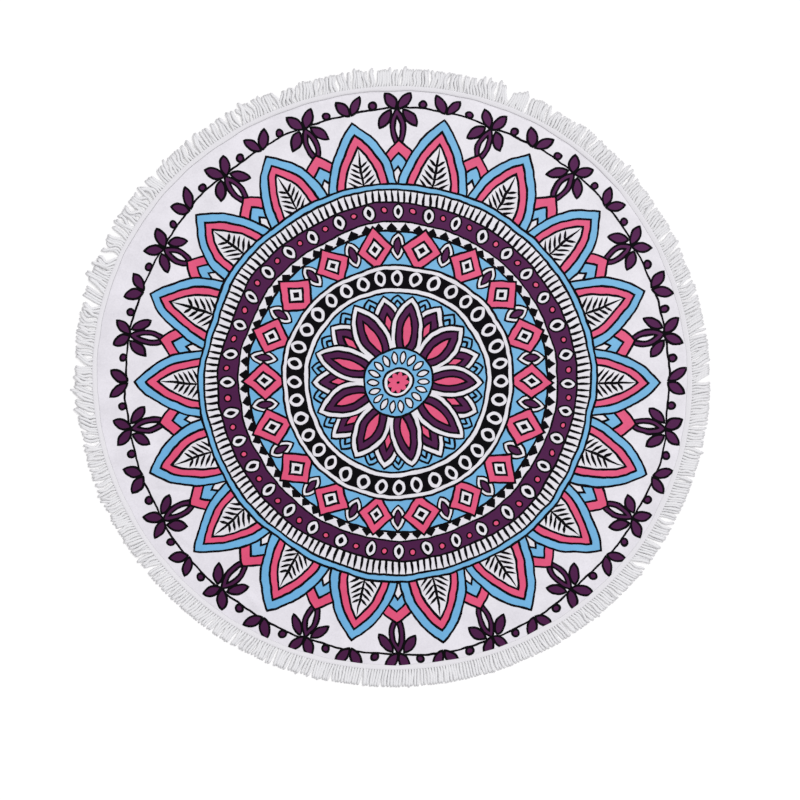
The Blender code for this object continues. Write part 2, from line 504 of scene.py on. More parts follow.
Temper = namedtuple("Temper", "angle curl bundling crossing")
TEMPERS = (
    Temper(angle=0, curl=0.0020, bundling=0.08, crossing=0.14),
    Temper(angle=60, curl=0.0023, bundling=0.06, crossing=0.22),
    Temper(angle=110, curl=0.0028, bundling=0.06, crossing=0.24),
    Temper(angle=140, curl=0.0046, bundling=0.06, crossing=0.28),
    Temper(angle=150, curl=0.0058, bundling=0.06, crossing=0.34),
    Temper(angle=167, curl=0.0058, bundling=0.06, crossing=0.36),
    Temper(angle=176, curl=0.0046, bundling=0.06, crossing=0.34),
    Temper(angle=190, curl=0.0042, bundling=0.06, crossing=0.32),
    Temper(angle=210, curl=0.0023, bundling=0.06, crossing=0.22),
    Temper(angle=225, curl=0.0013, bundling=0.06, crossing=0.12),
    Temper(angle=250, curl=0.0014, bundling=0.06, crossing=0.10),
    Temper(angle=275, curl=0.0007, bundling=0.04, crossing=0.05),
    Temper(angle=330, curl=0.0020, bundling=0.08, crossing=0.14),
)
CORD_ANGLES = (np.arange(CORDS) + 0.5) * 360 / CORDS
print("lean here and there", read(LAYS, "lean", CORD_ANGLES[::50]).round(), "degrees")

# %% Where the cords part, and which were cut long
STATIONS = 12
share = np.linspace(0.0, 1.0, STATIONS)  # of a cord's length, at each of its stations

# A parting pushes the cords apart by its opening, as a V, or as a lens where the tips close again.
Parting = namedtuple("Parting", "angle opening closes", defaults=(0.0,))
PARTINGS = (
    Parting(angle=8.2, opening=0.004),
    Parting(angle=19.8, opening=0.002),
    Parting(angle=27.3, opening=0.005, closes=0.8),
    Parting(angle=38.3, opening=0.004),
    Parting(angle=58.5, opening=0.004),
    Parting(angle=63.7, opening=0.006),
    Parting(angle=67.4, opening=0.004),
    Parting(angle=90.5, opening=0.007),
    Parting(angle=93.8, opening=0.005, closes=0.9),
    Parting(angle=95.5, opening=0.005),
    Parting(angle=97.2, opening=0.006, closes=0.6),
    Parting(angle=98.9, opening=0.007),
    Parting(angle=100.6, opening=0.005, closes=0.9),
    Parting(angle=112.3, opening=0.002),
    Parting(angle=124.7, opening=0.005, closes=0.9),
    Parting(angle=139.7, opening=0.006),
    Parting(angle=143.2, opening=0.006, closes=0.9),
    Parting(angle=145.8, opening=0.005),
    Parting(angle=152.3, opening=0.007),
    Parting(angle=154.3, opening=0.010),
    Parting(angle=156.4, opening=0.006),
    Parting(angle=163.0, opening=0.006, closes=0.9),
    Parting(angle=166.3, opening=0.001),
    Parting(angle=168.9, opening=0.006, closes=0.8),
    Parting(angle=170.7, opening=0.006),
    Parting(angle=172.8, opening=0.007, closes=0.9),
    Parting(angle=175.9, opening=0.006, closes=1.0),
    Parting(angle=178.7, opening=0.005, closes=0.9),
    Parting(angle=180.8, opening=0.008, closes=0.9),
    Parting(angle=183.3, opening=0.009, closes=1.0),
    Parting(angle=186.2, opening=0.010, closes=0.9),
    Parting(angle=188.8, opening=0.007, closes=0.5),
    Parting(angle=192.4, opening=0.009),
    Parting(angle=194.5, opening=0.003),
    Parting(angle=199.6, opening=0.005, closes=0.8),
    Parting(angle=205.6, opening=0.005, closes=0.6),
    Parting(angle=215.2, opening=0.007),
    Parting(angle=218.6, opening=0.006),
    Parting(angle=234.7, opening=0.004),
    Parting(angle=241.9, opening=0.004),
    Parting(angle=244.5, opening=0.005),
    Parting(angle=250.4, opening=0.005, closes=0.9),
    Parting(angle=254.9, opening=0.006),
    Parting(angle=258.8, opening=0.005),
    Parting(angle=267.8, opening=0.003),
    Parting(angle=275.5, opening=0.005),
    Parting(angle=332.1, opening=0.010, closes=0.6),
)
PARTING_REACH_DEGREES = 2.0  # how quickly the push dies out to either side

LongCut = namedtuple("LongCut", "angle reach")
LONG_CUTS = (
    LongCut(angle=41.2, reach=0.006),
    LongCut(angle=64.7, reach=0.007),
    LongCut(angle=69.1, reach=0.008),
    LongCut(angle=71.6, reach=0.008),
    LongCut(angle=88.3, reach=0.008),
    LongCut(angle=97.4, reach=0.006),
    LongCut(angle=107.8, reach=0.006),
    LongCut(angle=119.8, reach=0.009),
    LongCut(angle=129.0, reach=0.006),
    LongCut(angle=151.2, reach=0.006),
    LongCut(angle=161.6, reach=0.006),
)
LONG_CUT_REACH_DEGREES = 0.5  # a cord or two


def past(row):
    """How far each cord is past a row's angle, in degrees from -180 to 180."""
    return (CORD_ANGLES - row.angle + 180) % 360 - 180


def parted(row):
    """How far aside a parting pushes each cord at each of its stations."""
    aside = row.opening / 2 * np.sign(past(row)) * np.exp(-np.abs(past(row)) / PARTING_REACH_DEGREES)
    return np.outer(aside, (1 - row.closes) * share + row.closes * np.sin(pi * share))


print(len(PARTINGS), "partings and", len(LONG_CUTS), "places that were cut long")

# %% [markdown]
# Small differences come from a seeded random stream: a cord's length, the few degrees by which it
# strays from its neighbours, the small bundle that it clings to and leans with, its waves, and
# whether it lies on top of its neighbours, where it may cross them. No bundle spans a parting. What
# a cord does sideways is worked out as a distance along the rim at each of its stations, from root
# to tip. Sixty small rounds of easing apart then give each cord back most of its own width, because
# soft cords press on each other but hardly merge.

# %% Lay the cords out
CORD_WIDTH = 0.0078  # as it lies, flattened; a round cord with as much yarn is 4 to 5 mm thick
CORD_OWN_WIDTH = 0.0054  # what easing apart keeps free, as soft cords give and overlap
CROSSING_WIDTH = 0.0018  # the same, beside a cord that lies on top
LENGTH_SPREAD = 0.0010  # of a cord beside its bundle, and of a bundle beside the others
SPIKE_SHARE, SPIKE_REACH = 0.04, 0.005  # some cords were cut longer
BUNDLE_BEGINS = 0.28  # the share of cords that begin a bundle
STRAY_DEGREES, BUNDLE_STRAY_DEGREES, CROSSING_DEGREES = 2.2, 1.2, 9
UNEVEN_AT_LEAST = 0.4  # how much of these spreads there is where cords don't curl
UNEVEN_CURL = 0.0060  # the curl that adds the whole of them once more
FEWEST_WAVES, MOST_WAVES = 0.5, 1.2  # in a cord's length
SWAY_SPREAD = 0.10  # how far from its neighbours' a cord's waves begin, in waves
LEAST_CURLED, MOST_CURLED = 0.3, 1.5  # a bundle's share of the curl that the table gives
DRAWN_POWER = 1.5  # above 1, a bundle's tips draw together more than its roots
EASING_ROUNDS = 60
ROOT_TUCK = 0.0025  # the root starts this far inside the tape
rng = np.random.default_rng(7)


def varied(cord_spread, bundle_spread):
    """A random difference for each cord, part its own and part its bundle's."""
    return rng.normal(0.0, cord_spread, CORDS) + rng.normal(0.0, bundle_spread, CORDS)[bundle]


root_radius = CLOTH_RADIUS + TAPE_WIDTH
spread = 1 + share * CORD_LENGTH / root_radius
begins = rng.uniform(0.0, 1.0, CORDS) < BUNDLE_BEGINS
begins[np.searchsorted(CORD_ANGLES, [row.angle for row in PARTINGS])] = True
bundle = np.cumsum(begins)
bundle_middle = np.array([CORD_ANGLES[bundle == number].mean() for number in bundle])
on_top = rng.uniform(0.0, 1.0, CORDS) < read(TEMPERS, "crossing", CORD_ANGLES)
spikes = SPIKE_REACH * (rng.uniform(0.0, 1.0, CORDS) < SPIKE_SHARE)
uneven = UNEVEN_AT_LEAST + read(TEMPERS, "curl", CORD_ANGLES) / UNEVEN_CURL
long_cut = sum(row.reach * (np.abs(past(row)) < LONG_CUT_REACH_DEGREES) for row in LONG_CUTS)
reach = CORD_LENGTH + read(LAYS, "reach", bundle_middle) + long_cut
reach += uneven * (varied(LENGTH_SPREAD, LENGTH_SPREAD) + spikes)
crossing = rng.normal(0.0, CROSSING_DEGREES, CORDS) * on_top
stray = uneven * varied(STRAY_DEGREES, BUNDLE_STRAY_DEGREES) + crossing
lean = np.radians(read(LAYS, "lean", bundle_middle) + stray)
pull = np.radians(bundle_middle - CORD_ANGLES) * root_radius * read(TEMPERS, "bundling", CORD_ANGLES)
sway = rng.normal(0.0, SWAY_SPREAD, CORDS) + rng.uniform(0.0, 1.0, CORDS)[bundle]
swing = np.outer(rng.uniform(FEWEST_WAVES, MOST_WAVES, CORDS), share) + sway[:, None]
curl = read(TEMPERS, "curl", CORD_ANGLES) * rng.uniform(LEAST_CURLED, MOST_CURLED, CORDS)[bundle]
print(bundle.max(), "bundles;", on_top.sum(), "cords on top; longest", reach.max().round(4), "m")


# %% Ease them apart
def eased(along_rim):
    """Moves neighbours apart at every station until each has its own width."""
    beside_top = on_top | np.roll(on_top, -1)
    own_width = np.where(beside_top, CROSSING_WIDTH, CORD_OWN_WIDTH)[:, None]
    for _ in range(EASING_ROUNDS):
        after = np.vstack([along_rim[1:], along_rim[:1] + tau * root_radius * spread])
        overlap = np.maximum(own_width - (after - along_rim), 0.0)
        along_rim = along_rim - overlap / 2 + np.roll(overlap, 1, axis=0) / 2
    return along_rim


roots = np.radians(CORD_ANGLES)[:, None] * root_radius * spread
leaning = np.outer(np.tan(lean) * reach, share) + sum(parted(row) for row in PARTINGS)
bundled = np.outer(pull, share**DRAWN_POWER)
curled = curl[:, None] * (np.sin(tau * swing) - np.sin(tau * sway)[:, None])
sideways = eased(roots + leaning + bundled + curled) - roots
print("sideways by up to", round(np.abs(sideways).max() * 1000, 1), "mm")

# %% [markdown]
# ## One cord, and hundreds more
#
# Each cord is a yarn doubled back and twisted on itself, so it has two plies and a rounded end.
# One straight cord is extruded from a six-sided ring. Two opposite corners of a ring stand out as
# the plies, and the pair steps round by one corner at each station. Each cord is a copy of this
# one, bent along its own line, and the cord's UV map runs round it and along it for the yarn.

# %% Model one straight cord
SIDES = 6
GROOVE = 0.86  # the section's radius between the plies, beside its radius on them
AT_THE_ROOT = {0: 0.50, 1: 0.75, 2: 0.86, 3: 0.94}  # a cord's width at a station, beside its middle
NARROWING = {**AT_THE_ROOT, STATIONS - 2: 0.90, STATIONS - 1: 0.50}

one_cord = bmesh.new()
bmesh.ops.create_circle(one_cord, radius=1.0, segments=SIDES, cap_ends=True)
tip = one_cord.faces[:]
for _ in share[1:]:
    grown = bmesh.ops.extrude_face_region(one_cord, geom=tip)["geom"]
    moved = [item for item in grown if isinstance(item, bmesh.types.BMVert)]
    bmesh.ops.translate(one_cord, verts=moved, vec=(0, 0, 1))
    bmesh.ops.delete(one_cord, geom=tip, context="FACES_ONLY")
    tip = [item for item in grown if isinstance(item, bmesh.types.BMFace)]
bmesh.ops.holes_fill(one_cord, edges=one_cord.edges[:], sides=SIDES)
bmesh.ops.recalc_face_normals(one_cord, faces=one_cord.faces[:])
print("one cord has", len(one_cord.faces), "faces")


# %% Twist it, and map it
def corner_of(vert):
    """The number of a point's corner in its ring."""
    return int(atan2(vert.co.y, vert.co.x) % tau / (tau / SIDES))


round_and_along = one_cord.loops.layers.uv.new("round_and_along")
for face in one_cord.faces:
    crosses_zero = {0, SIDES - 1} <= {corner_of(vert) for vert in face.verts}
    for loop in face.loops:
        corner = corner_of(loop.vert)
        beyond = SIDES if crosses_zero and corner == 0 else 0
        loop[round_and_along].uv = ((corner + beyond) / SIDES, loop.vert.co.z / (STATIONS - 1))
for vert in one_cord.verts:
    station = round(vert.co.z)
    on_ply = (corner_of(vert) - station) % (SIDES // 2) == 0
    width = CORD_WIDTH / 2 * (1.0 if on_ply else GROOVE) * NARROWING.get(station, 1.0)
    vert.co = (vert.co.x * width, vert.co.y * width, station)
cord_points = points_of(one_cord)
cord_data = bpy.data.meshes.new("one cord")
one_cord.to_mesh(cord_data)
one_cord.free()
print("twisted by", 360 / SIDES, "degrees a station")

# %% [markdown]
# Bending is a matter of frames: at each station, the way the cord runs, the level direction across
# it and the direction up from it. A point of the straight cord keeps its distances across and up.
# A cord on top climbs over its neighbours and comes half down again. The floor flattens the rest.

# %% Bend a copy for each cord of the fringe
CORD_FLATTENING = 0.45  # a soft cord that lies on a floor is lower than it is wide
GIRTH_SPREAD = 0.09
MOST_LIFTED = 0.3  # of its own curl, that a cord may stand off the floor
Climb = namedtuple("Climb", "share rise")  # the rise is in cord widths
CLIMBS = (Climb(share=0.0, rise=0.0), Climb(share=0.4, rise=0.38), Climb(share=1.0, rise=0.22))

girth = rng.normal(1.0, GIRTH_SPREAD, CORDS)[:, None]
climbed = CORD_WIDTH * np.outer(on_top, np.interp(share, *zip(*CLIMBS)))
lifted = rng.uniform(0.0, MOST_LIFTED, CORDS)[:, None] * curl[:, None] * np.sin(pi * share)
past_cloth = TAPE_WIDTH - ROOT_TUCK + np.outer(reach + ROOT_TUCK, share)
height = girth * CORD_WIDTH / 2 * CORD_FLATTENING + lifted + climbed
across_rim = outward(CORD_ANGLES + 90)[:, None]
lines = rim_place(CORD_ANGLES[:, None], past_cloth, height) + across_rim * sideways[..., None]
forward = np.gradient(lines, axis=1)
forward /= np.linalg.norm(forward, axis=2, keepdims=True)
level = np.cross((0, 0, 1), forward)
level /= np.linalg.norm(level, axis=2, keepdims=True)
up = np.cross(forward, level)

station = cord_points[:, 2].round().astype(int)
roll = rng.uniform(0.0, tau, CORDS)[:, None]
x, y = cord_points[:, 0], cord_points[:, 1]
along_level = (girth * (x * np.cos(roll) - y * np.sin(roll)))[..., None]
along_up = (girth * (x * np.sin(roll) + y * np.cos(roll)) * CORD_FLATTENING)[..., None]
bent = lines[:, station] + level[:, station] * along_level + up[:, station] * along_up
bent[..., 2] = np.maximum(bent[..., 2], 0.0)
cords = many("fringe_cords", cord_data, bent)
print("cords reach from", bent[..., 2].min().round(4), "to", bent[..., 2].max().round(4), "m high")

# %% [markdown]
# ## Tools for the finishes
#
# A material in Blender is a small graph of nodes. One helper adds a node, gives it its settings,
# and sets or links its inputs. Colours are written as the hex values of a picture, which are
# coded for a screen, and one helper turns them into the linear light that a renderer counts in.
# A third begins a material, and sets on its shader what is the same all over it.

# %% Add a node, read a colour, begin a material
MM = 0.001
MIX_FACTOR, MIX_BELOW, MIX_ABOVE, MIX_RESULT = 0, 6, 7, 2  # a Mix node's sockets when it mixes colours


def add_node(tree, kind, inputs, **settings):
    """Adds a node with its settings, and sets each input to a value or links it to a socket."""
    made = tree.nodes.new(kind)
    for name, value in settings.items():
        setattr(made, name, value)
    for name, value in inputs.items():
        if isinstance(value, bpy.types.NodeSocket):
            tree.links.new(value, made.inputs[name])
        else:
            made.inputs[name].default_value = value
    return made


def linear(hex_colour, alpha=1.0):
    """A hex colour such as #E7E4EB as linear red, green, blue and alpha."""
    coded = np.array([int(hex_colour[place : place + 2], 16) for place in (1, 3, 5)]) / 255
    decoded = np.where(coded <= 0.04045, coded / 12.92, ((coded + 0.055) / 1.055) ** 2.4)
    return (*decoded, alpha)


def new_material(name, finish):
    """A material with its shader's plain settings, its node tree and its shader."""
    made = bpy.data.materials.new(name)
    made.use_nodes = True
    shader = made.node_tree.nodes["Principled BSDF"]
    for socket, value in finish.items():
        shader.inputs[socket].default_value = value
    return made, made.node_tree, shader


print("white cotton is", [round(value, 3) for value in linear("#E7E4EB")])

# %% [markdown]
# ## The print: its inks
#
# The face is printed by reactive dye on white velour in four colours, and the bare cotton is the
# fifth. The design is this lesson's own: a wreath of leaves round the rim, a lotus of leafy petals,
# then beaded rings and a double daisy. It repeats round a middle, so each motif is described once:
# how many there are, how far out, how long and wide, and at what depth inside its outline each ink
# begins. Motifs are laid down in order, so later ones cover earlier ones, as in screen printing.

# %% Inks and motifs
INKS = {
    "white": "#DBD8DF",
    "blue": "#70ABD4",
    "pink": "#D6567A",
    "purple": "#4B1F47",
    "black": "#050307",
}
HALF_TURN = 0.5  # a ring turned by half its spacing, so that it sits in the gaps of another
LINE = 5.5  # the width of a drawn line, in millimetres, as all lengths of the print are

# A motif is a leaf with two pointed ends, a disc where its half length and half width are equal,
# or a diamond. A side motif comes in mirrored pairs.
Motif = namedtuple(
    "Motif",
    "count turn centre half_length half_width inks side tilt diamond",
    defaults=(0, 0, False),
)


def disc(radius, inks):
    """One disc round the middle of the print."""
    return Motif(count=1, turn=0, centre=0, half_length=radius, half_width=radius, inks=inks)


def outlined(*bands, line=LINE):
    """The inks of bands inside each other, each within a black line: ink, width, ink, width, ink."""
    inks, depth = [], 0
    for ink, width in zip_longest(bands[::2], bands[1::2], fillvalue=0):
        inks += [(depth, "black"), (depth + line, ink)]
        depth += line + width
    return inks


BLACK = [(0, "black")]
print("a thin line round purple begins at these depths:", outlined("purple", line=4))

# %% The wreath round the rim
# A row gives a motif's count, turn, centre, half length, half width and inks, in that order.
WREATH_MOTIFS = (
    disc(656, outlined("white", line=6)),
    Motif(36, 0, 667, 27, 14, outlined("purple"), side=16, tilt=34),
    Motif(36, HALF_TURN, 660, 11, 11, outlined("purple")),
    Motif(18, HALF_TURN, 626, 28, 14, outlined("purple"), side=29, tilt=-38),
    Motif(18, HALF_TURN, 604, 48, 20, outlined("purple", 6, "white", line=5)),
)
print(len(WREATH_MOTIFS), "motifs in the wreath")

# %% The petals, each with a leaf's veins
VEIN_PAIRS, VEIN_TILT, VEIN_HALF_WIDTH = 5, 50, 3.3
FIRST_VEIN, VEIN_SPACING = 463, 15  # where they leave the midrib
LONGEST_VEIN, VEIN_SHORTENING = 23, 2.6  # half its length, and what the next one lacks of it


def vein(step):
    """A pair of side veins, shorter and further out at each step."""
    half_length = LONGEST_VEIN - VEIN_SHORTENING * step
    centre = FIRST_VEIN + VEIN_SPACING * step + half_length * cos(radians(VEIN_TILT))
    side = half_length * sin(radians(VEIN_TILT))
    return Motif(18, 0, centre, half_length, VEIN_HALF_WIDTH, BLACK, side=side, tilt=VEIN_TILT)


PETAL_MOTIFS = (
    Motif(18, HALF_TURN, 440, 142, 76, outlined("pink", 18, "blue", 17, "white")),
    Motif(18, 0, 458, 175, 84, outlined("blue", 15, "pink", 13, "white")),
    Motif(18, 0, 516, 56, 3.6, BLACK),
    *(vein(step) for step in range(VEIN_PAIRS)),
)
print(len(PETAL_MOTIFS), "motifs in the petals")

# %% The rings between
RING_MOTIFS = (
    disc(480, outlined("blue", 11, "white")),
    Motif(180, 0, 438, 25, 3.4, BLACK),
    disc(431, outlined("purple")),
    Motif(36, 0, 404, 22, 16, outlined("white", 6, "black", line=4.5)),
    Motif(36, HALF_TURN, 407, 9, 9, outlined("pink", line=4)),
    disc(383, outlined("white")),
    Motif(72, HALF_TURN, 363, 14, 13, BLACK, diamond=True),
    disc(362, outlined("blue")),
    Motif(18, HALF_TURN, 324, 34, 20, outlined("white", 5, "purple", line=4.5)),
    Motif(18, 0, 320, 54, 49, outlined("pink", 13, "white", 6, "black"), diamond=True),
    disc(284, outlined("white", 8, "black")),
    Motif(36, 0, 250, 19, 15, [(0, "white"), (7, "black")]),
    disc(226, [(0, "white"), (9, "black"), (14.5, "blue")]),
)
print(len(RING_MOTIFS), "motifs in the rings")

# %% The double daisy in the middle
DAISY = outlined("white", 8, "purple", 11, "pink", line=5)
MIDDLE_MOTIFS = (
    Motif(18, HALF_TURN, 168, 42, 25, outlined("blue", 6, "blue")),
    Motif(9, HALF_TURN, 122, 88, 43, DAISY),
    Motif(9, 0, 122, 88, 43, DAISY),
    disc(85, outlined("blue")),
    Motif(18, 0, 60, 17, 9, outlined("white", line=4)),
    disc(38, outlined("white", 6, "black")),
    Motif(9, 0, 15, 12, 6, [(0, "pink")]),
)
MOTIFS = WREATH_MOTIFS + PETAL_MOTIFS + RING_MOTIFS + MIDDLE_MOTIFS
print(len(MOTIFS), "motifs in", len(INKS), "inks")

# %% [markdown]
# ## The print: drawn by nodes
#
# The nodes need each point's distance and angle from the print's middle. The drawing is by hand,
# so noise first pushes every line some millimetres off its place, slowly over a hand's breadth and
# a little from one pen stroke to the next. Fine noise frays its edge where dye meets loose pile.
# Folding the angle into one sector makes the repeats.

# %% Where a point is in the print
PRINT_MIDDLE = (0.012, -0.0096, 0.0)  # the print sits a little off the towel's middle
HAND_WOBBLE, HAND_WAVELENGTH = 14 * MM, 170 * MM  # noise seldom goes past a third of its range
HAND_STROKES = {"Detail": 2.0, "Roughness": 0.37, "Lacunarity": 3.3}  # down to waves of 16 mm
FRAY, FRAY_WAVELENGTH = 0.8 * MM, 1.6 * MM


def pushed(tree, place, distance, wavelength, **details):
    """Each point of a pattern pushed aside by up to a distance, by noise of a wavelength."""
    noise = add_node(tree, "ShaderNodeTexNoise", {"Vector": place, "Scale": 1 / wavelength, **details})
    centring = {0: noise.outputs["Color"], 1: (2 * distance,) * 3, 2: (-distance,) * 3}
    offset = add_node(tree, "ShaderNodeVectorMath", centring, operation="MULTIPLY_ADD").outputs[0]
    return add_node(tree, "ShaderNodeVectorMath", {0: place, 1: offset}, operation="ADD").outputs[0]


velour, tree, velour_shader = new_material(
    "printed cotton velour",
    {"Roughness": 0.95, "Specular IOR Level": 0.04, "Sheen Weight": 0.05, "Sheen Roughness": 0.6},
)
surface = add_node(tree, "ShaderNodeTexCoord", {}).outputs["Object"]
where = {"Vector": surface, "Location": PRINT_MIDDLE}
centred = add_node(tree, "ShaderNodeMapping", where, vector_type="TEXTURE")
drawn = pushed(tree, centred.outputs[0], HAND_WOBBLE, HAND_WAVELENGTH, **HAND_STROKES)
frayed = pushed(tree, drawn, FRAY, FRAY_WAVELENGTH)
without_height = {0: frayed, 1: (1, 1, 0)}
flat = add_node(tree, "ShaderNodeVectorMath", without_height, operation="MULTIPLY").outputs[0]
distance = add_node(tree, "ShaderNodeVectorMath", {0: flat}, operation="LENGTH").outputs["Value"]
axes = add_node(tree, "ShaderNodeSeparateXYZ", {0: flat})
up_and_along = {0: axes.outputs["Y"], 1: axes.outputs["X"]}
ray = add_node(tree, "ShaderNodeMath", up_and_along, operation="ARCTAN2").outputs[0]
print("print's middle at", PRINT_MIDDLE[:2])


# %% Fold the plane, and measure the depth inside a motif
def folded(count, turn):
    """A point's place along and across its own sector, of so many; across is never negative."""
    to_turns = {0: ray, 1: count / tau, 2: turn + 0.5}
    turns = add_node(tree, "ShaderNodeMath", to_turns, operation="MULTIPLY_ADD")
    within = add_node(tree, "ShaderNodeMath", {0: turns.outputs[0]}, operation="FRACT")
    to_angle = {0: within.outputs[0], 1: tau / count, 2: -pi / count}
    angle = add_node(tree, "ShaderNodeMath", to_angle, operation="MULTIPLY_ADD").outputs[0]
    along = add_node(tree, "ShaderNodeMath", {0: angle}, operation="COSINE").outputs[0]
    across = add_node(tree, "ShaderNodeMath", {0: angle}, operation="SINE").outputs[0]
    unit = add_node(tree, "ShaderNodeCombineXYZ", {"X": along, "Y": across}).outputs[0]
    reached = {0: unit, "Scale": distance}
    place = add_node(tree, "ShaderNodeVectorMath", reached, operation="SCALE").outputs[0]
    return add_node(tree, "ShaderNodeVectorMath", {0: place}, operation="ABSOLUTE").outputs[0]


def leaf_depth(corner, length, width):
    """How deep a point is in a leaf bounded by two arcs, as a share of the leaf's half width."""
    radius = (length**2 + width**2) / (2 * width)
    moved = {0: corner, 1: (0, radius - width, 0)}
    from_centre = add_node(tree, "ShaderNodeVectorMath", moved, operation="ADD").outputs[0]
    away = add_node(tree, "ShaderNodeVectorMath", {0: from_centre}, operation="LENGTH").outputs["Value"]
    inwards = {0: away, 1: -1 / width, 2: radius / width}
    return add_node(tree, "ShaderNodeMath", inwards, operation="MULTIPLY_ADD").outputs[0], width


def diamond_depth(corner, length, width):
    """How deep a point is in a diamond, as a share of its depth in the middle."""
    weighed = {0: corner, 1: (1 / length, 1 / width, 0)}
    away = add_node(tree, "ShaderNodeVectorMath", weighed, operation="DOT_PRODUCT").outputs["Value"]
    inwards = add_node(tree, "ShaderNodeMath", {0: 1.0, 1: away}, operation="SUBTRACT").outputs[0]
    return inwards, length * width / hypot(length, width)


# %% [markdown]
# A Color Ramp with constant steps turns that depth into ink. Its first step, outside the outline,
# has an alpha of nothing, and the alpha says how much of the motif covers what is beneath.

# %% Lay down the motifs
OUTLINE = 0.0005  # the ramp's first step ends here, at the motif's outline


def laid_over(ground, motif, sector):
    """The colour of the print once a motif is laid over what is beneath it."""
    location = (motif.centre * MM, motif.side * MM, 0)
    where = {"Vector": sector, "Location": location, "Rotation": (0, 0, radians(motif.tilt))}
    placed = add_node(tree, "ShaderNodeMapping", where, vector_type="TEXTURE").outputs[0]
    corner = add_node(tree, "ShaderNodeVectorMath", {0: placed}, operation="ABSOLUTE").outputs[0]
    measure = diamond_depth if motif.diamond else leaf_depth
    depth, deepest = measure(corner, motif.half_length * MM, motif.half_width * MM)
    ramp = add_node(tree, "ShaderNodeValToRGB", {0: depth})
    ramp.color_ramp.interpolation = "CONSTANT"
    steps = ramp.color_ramp.elements
    steps.remove(steps[1])
    steps[0].color = linear(INKS[motif.inks[0][1]], alpha=0.0)
    for begins, ink in motif.inks:
        steps.new(OUTLINE + begins * MM / deepest).color = linear(INKS[ink])
    covering = {MIX_FACTOR: ramp.outputs["Alpha"], MIX_BELOW: ground, MIX_ABOVE: ramp.outputs["Color"]}
    return add_node(tree, "ShaderNodeMix", covering, data_type="RGBA").outputs[MIX_RESULT]


sectors = {}
printed = linear(INKS["white"])
for motif in MOTIFS:
    fold = (motif.count, motif.turn)
    if fold not in sectors:
        sectors[fold] = folded(*fold)
    printed = laid_over(printed, motif, sectors[fold])
print(len(sectors), "folds and", len(tree.nodes), "nodes so far")

# %% [markdown]
# ## The velour
#
# Velour is terry whose loops have been shorn: a dense upright pile of cut cotton ends, about
# 2 mm high. It is matt and soft, and strokes of a hand leave it lying this way or that in patches.
# Two sizes of noise give that: grain for the cut ends, whose tufts are drawn larger than the real
# 0.5 mm because finer would not show, and slow patches for the strokes. The print is also painted
# paler towards the side the light comes from, and darker away from it: a painted sheen. A power,
# or a Gamma node, does that, and it changes a dark colour more than a pale one.

# %% Paint a sheen on the print towards the light
PAINTED_SHEEN_SIDE = 50  # the side of the rim where the painted sheen is brightest, towards the light; the print is painted darkest at the opposite side
PAINTED_SHEEN_SPREAD = 0.09  # how far the power goes from 1 at the rim

# Painted sheen: the print is painted paler towards the light's side of the towel, and darker away from
# it.
across_towel = {0: surface, 1: tuple(outward(PAINTED_SHEEN_SIDE) / CLOTH_RADIUS)}
towards_painted_sheen = add_node(tree, "ShaderNodeVectorMath", across_towel, operation="DOT_PRODUCT")
power = {0: towards_painted_sheen.outputs["Value"], 1: -PAINTED_SHEEN_SPREAD, 2: 1.0}
painted_sheen_power = add_node(tree, "ShaderNodeMath", power, operation="MULTIPLY_ADD").outputs[0]
print_with_painted_sheen = add_node(tree, "ShaderNodeGamma", {"Color": printed, "Gamma": painted_sheen_power}).outputs[0]
print("the painted sheen's power goes from", 1 - PAINTED_SHEEN_SPREAD, "to", 1 + PAINTED_SHEEN_SPREAD)

# %% Finish the velour
GRAIN, GRAIN_SHADE = 4.5 * MM, 0.12  # a noise's size, and how far it lightens and darkens at most
PATCH, PATCH_SHADE = 60 * MM, 0.12
PILE_RELIEF = 0.5 * MM

tufts = {"Vector": surface, "Scale": 1 / GRAIN, "Detail": 4.0, "Roughness": 0.65}
strokes = {"Vector": surface, "Scale": 1 / PATCH, "Detail": 2.0}
grain = add_node(tree, "ShaderNodeTexNoise", tufts).outputs["Fac"]
patch = add_node(tree, "ShaderNodeTexNoise", strokes).outputs["Fac"]
for noise, most in ((grain, GRAIN_SHADE), (patch, PATCH_SHADE)):
    around_one = {"Value": noise, "To Min": 1 - most, "To Max": 1 + most}
    factor = add_node(tree, "ShaderNodeMapRange", around_one).outputs[0]
    shaded = {0: print_with_painted_sheen, "Scale": factor}
    print_with_painted_sheen = add_node(tree, "ShaderNodeVectorMath", shaded, operation="SCALE").outputs[0]
relief = {"Height": grain, "Distance": PILE_RELIEF, "Strength": 0.6}
pile = add_node(tree, "ShaderNodeBump", relief)
tree.links.new(print_with_painted_sheen, velour_shader.inputs["Base Color"])
tree.links.new(pile.outputs[0], velour_shader.inputs["Normal"])
print("velour has", len(tree.nodes), "nodes")

# %% [markdown]
# ## The back of the cloth
#
# The back keeps its terry loops, which stand in rows about 2 mm apart, plain white. Voronoi cells
# are like loops seen end on: each is a small round bump, and the gap round it is painted darker as
# painted shade.

# %% Finish the looped back
LOOP_PITCH, LOOP_RELIEF = 2.0 * MM, 0.8 * MM

SOFT = {"Roughness": 0.95, "Specular IOR Level": 0.12}
terry, tree, shader = new_material("looped cotton terry", SOFT)
surface = add_node(tree, "ShaderNodeTexCoord", {}).outputs["Object"]
loops = add_node(tree, "ShaderNodeTexVoronoi", {"Vector": surface, "Scale": 1 / LOOP_PITCH})
from_loop = loops.outputs["Distance"]
# Painted shade: the gaps between the loops are painted darker than the loops.
whites = {MIX_FACTOR: from_loop, MIX_BELOW: linear("#E2E0E2"), MIX_ABOVE: linear("#B9B6BA")}
shade = add_node(tree, "ShaderNodeMix", whites, data_type="RGBA")
relief = {"Height": from_loop, "Distance": LOOP_RELIEF, "Strength": 0.7}
raised = add_node(tree, "ShaderNodeBump", relief, invert=True)
tree.links.new(shade.outputs[MIX_RESULT], shader.inputs["Base Color"])
tree.links.new(raised.outputs[0], shader.inputs["Normal"])
for finish in (velour, terry):
    cloth.data.materials.append(finish)
print("the cloth has", [finish.name for finish in cloth.data.materials])
